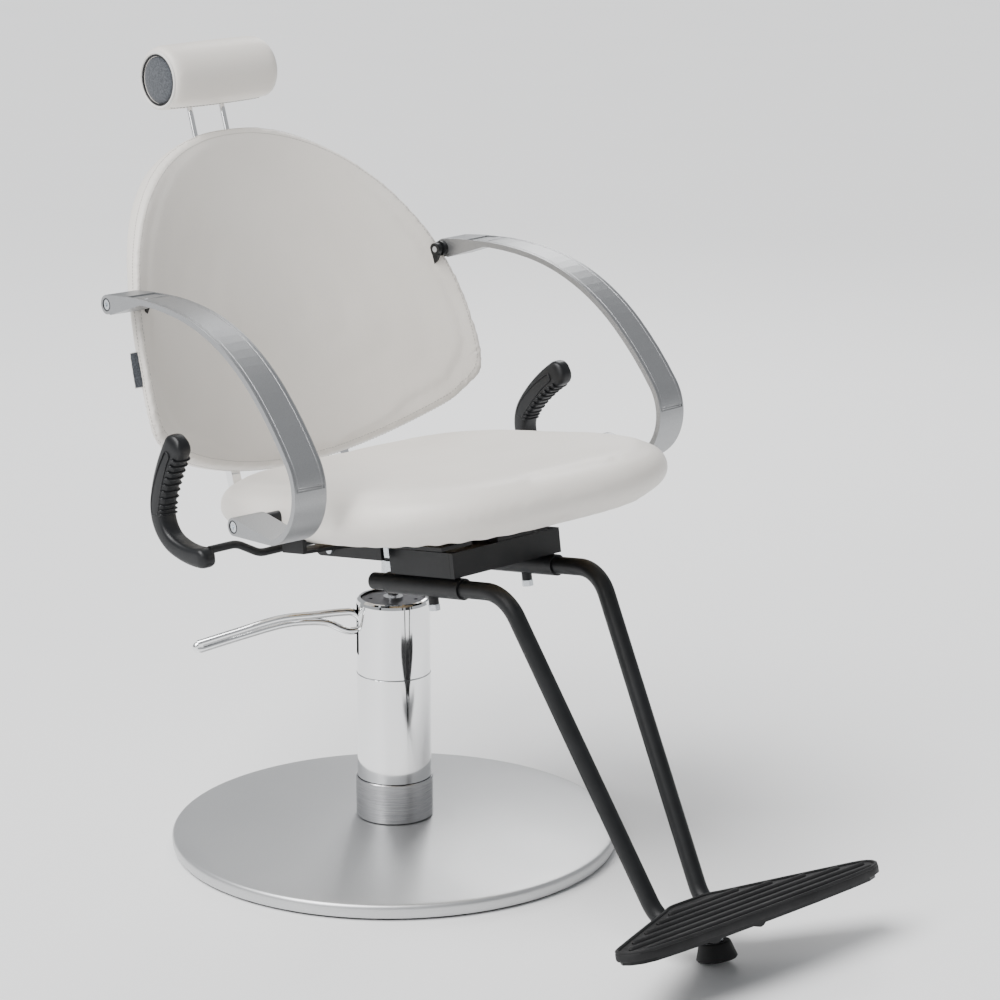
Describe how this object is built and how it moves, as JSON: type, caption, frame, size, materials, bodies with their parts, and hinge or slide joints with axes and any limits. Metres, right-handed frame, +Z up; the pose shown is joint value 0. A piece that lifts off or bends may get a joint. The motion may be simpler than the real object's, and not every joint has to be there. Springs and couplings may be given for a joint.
{
  "type": "styling chair",
  "caption": "Salon styling chair with a round base, pump column, tilting seat, curved arms, sliding footrest and roll headrest.",
  "frame": {"origin": "On the floor at the axis of the pump column.", "axes": "+Z up, -Y toward the footrest (front), +X to the sitter's left."},
  "size_m": [0.666, 1.0691, 1.0109],
  "materials": {
    "rubber_black": "matt black moulded rubber",
    "steel_dark": "dark painted steel",
    "satin_silver": "satin silver lacquer",
    "brushed": "brushed round the axis",
    "chrome": "polished chrome plate",
    "zinc": "bright zinc plate",
    "black_coat": "black powder coat",
    "plywood": "bare birch plywood",
    "white_leather": "smooth warm white leatherette",
    "tag_fabric": "dark woven tag",
    "satin_aluminium": "satin anodised",
    "plastic_black": "fine-textured black plastic",
    "slate_fabric": "dark slate felt"
  },
  "bodies": {
    "base": {"floor_pad": "rubber_black", "base_plate": "steel_dark", "base_cover": "satin_silver", "base_collar": "brushed", "pump_cylinder": "steel_dark", "lower_shroud": "chrome", "upper_shroud": "chrome", "pump_head": "steel_dark", "column_cap": "steel_dark", "rod_seal": "chrome", "pedal_pin": "zinc"},
    "pedal": {"pump_pedal": "chrome"},
    "lift": {"piston_rod": "chrome"},
    "swivel": {"swivel_hub": "zinc", "hub_washer": "plastic_black", "head_block": "zinc", "tilt_pin": "zinc"},
    "seat_unit": {"chassis_box": "black_coat", "front_crossbar": "black_coat", "mechanism_cover": "black_coat", "side_plate_left": "black_coat", "side_plate_right": "black_coat", "seat_rails": "black_coat", "seat_spacers": "black_coat", "seat_board": "plywood", "seat_cushion": "white_leather", "back_uprights": "chrome", "back_board": "plywood", "back_cushion": "white_leather", "back_pad": "white_leather", "back_tag": "tag_fabric", "back_tabs": "black_coat", "headrest_clamp": "black_coat", "clamp_plate_screws": "zinc", "arm_left": "satin_aluminium", "arm_right": "satin_aluminium", "arm_inlays": "satin_aluminium", "arm_bolts": "zinc", "arm_washers": "plastic_black", "arm_brackets": "black_coat", "footrest_sleeves": "black_coat", "lever_bushes": "plastic_black"},
    "left_lever": {"lever_left": "plastic_black"},
    "right_lever": {"lever_right": "plastic_black"},
    "footrest": {"footrest_tube_left": "black_coat", "footrest_tube_right": "black_coat", "footplate_frame": "black_coat", "footplate_mat": "rubber_black"},
    "foot": {"foot_stud": "zinc", "foot_nut": "zinc", "rubber_foot": "rubber_black"},
    "left_clamp": {"clamp_screw_left": "zinc"},
    "right_clamp": {"clamp_screw_right": "zinc"},
    "headrest": {"headrest_rods": "chrome", "headrest_core": "plywood", "headrest_cushion": "white_leather", "headrest_caps": "slate_fabric"}
  },
  "joints": [
    {"name": "lift_slide", "type": "slide", "parent": "base", "child": "lift", "axis": [0, 0, 1], "range_m": [0, 0.15]},
    {"name": "swivel_turn", "type": "hinge", "parent": "lift", "child": "swivel", "pos_m": [0, 0, 0.37], "axis": [0, 0, 1], "continuous": true},
    {"name": "seat_tilt", "type": "hinge", "parent": "swivel", "child": "seat_unit", "pos_m": [0, 0, 0.414], "axis": [-1, 0, 0], "range_deg": [0, 20]},
    {"name": "left_lever_pull", "type": "hinge", "parent": "seat_unit", "child": "left_lever", "pos_m": [0.098, 0.02507, 0.43193], "axis": [-1, 0, 0], "range_deg": [0, 18], "stiffness_Nm_per_rad": 3, "springref_deg": -11.46},
    {"name": "right_lever_pull", "type": "hinge", "parent": "seat_unit", "child": "right_lever", "pos_m": [-0.098, -0.02461, 0.43918], "axis": [-1, 0, 0], "range_deg": [0, 18], "stiffness_Nm_per_rad": 3, "springref_deg": -11.46},
    {"name": "pedal_press", "type": "hinge", "parent": "base", "child": "pedal", "pos_m": [-0.02883, 0.01802, 0.294], "axis": [-0.5299, -0.848, 0], "range_deg": [0, 15], "stiffness_Nm_per_rad": 20, "springref_deg": -5.73},
    {"name": "footrest_slide", "type": "slide", "parent": "seat_unit", "child": "footrest", "axis": [0, -0.9895, 0.1444], "range_m": [0, 0.1]},
    {"name": "foot_turn", "type": "hinge", "parent": "footrest", "child": "foot", "pos_m": [0, -0.5723, 0.03617], "axis": [0, 0.2215, 0.9751], "continuous": true},
    {"name": "left_clamp_turn", "type": "hinge", "parent": "seat_unit", "child": "left_clamp", "pos_m": [0.079, -0.1666, 0.37197], "axis": [0, 0.1444, 0.9895], "range_deg": [0, 180]},
    {"name": "right_clamp_turn", "type": "hinge", "parent": "seat_unit", "child": "right_clamp", "pos_m": [-0.079, -0.1666, 0.37197], "axis": [0, 0.1444, 0.9895], "range_deg": [0, 180]},
    {"name": "headrest_slide", "type": "slide", "parent": "seat_unit", "child": "headrest", "axis": [0, 0.3007, 0.9537], "range_m": [0, 0.045]}
  ]
}
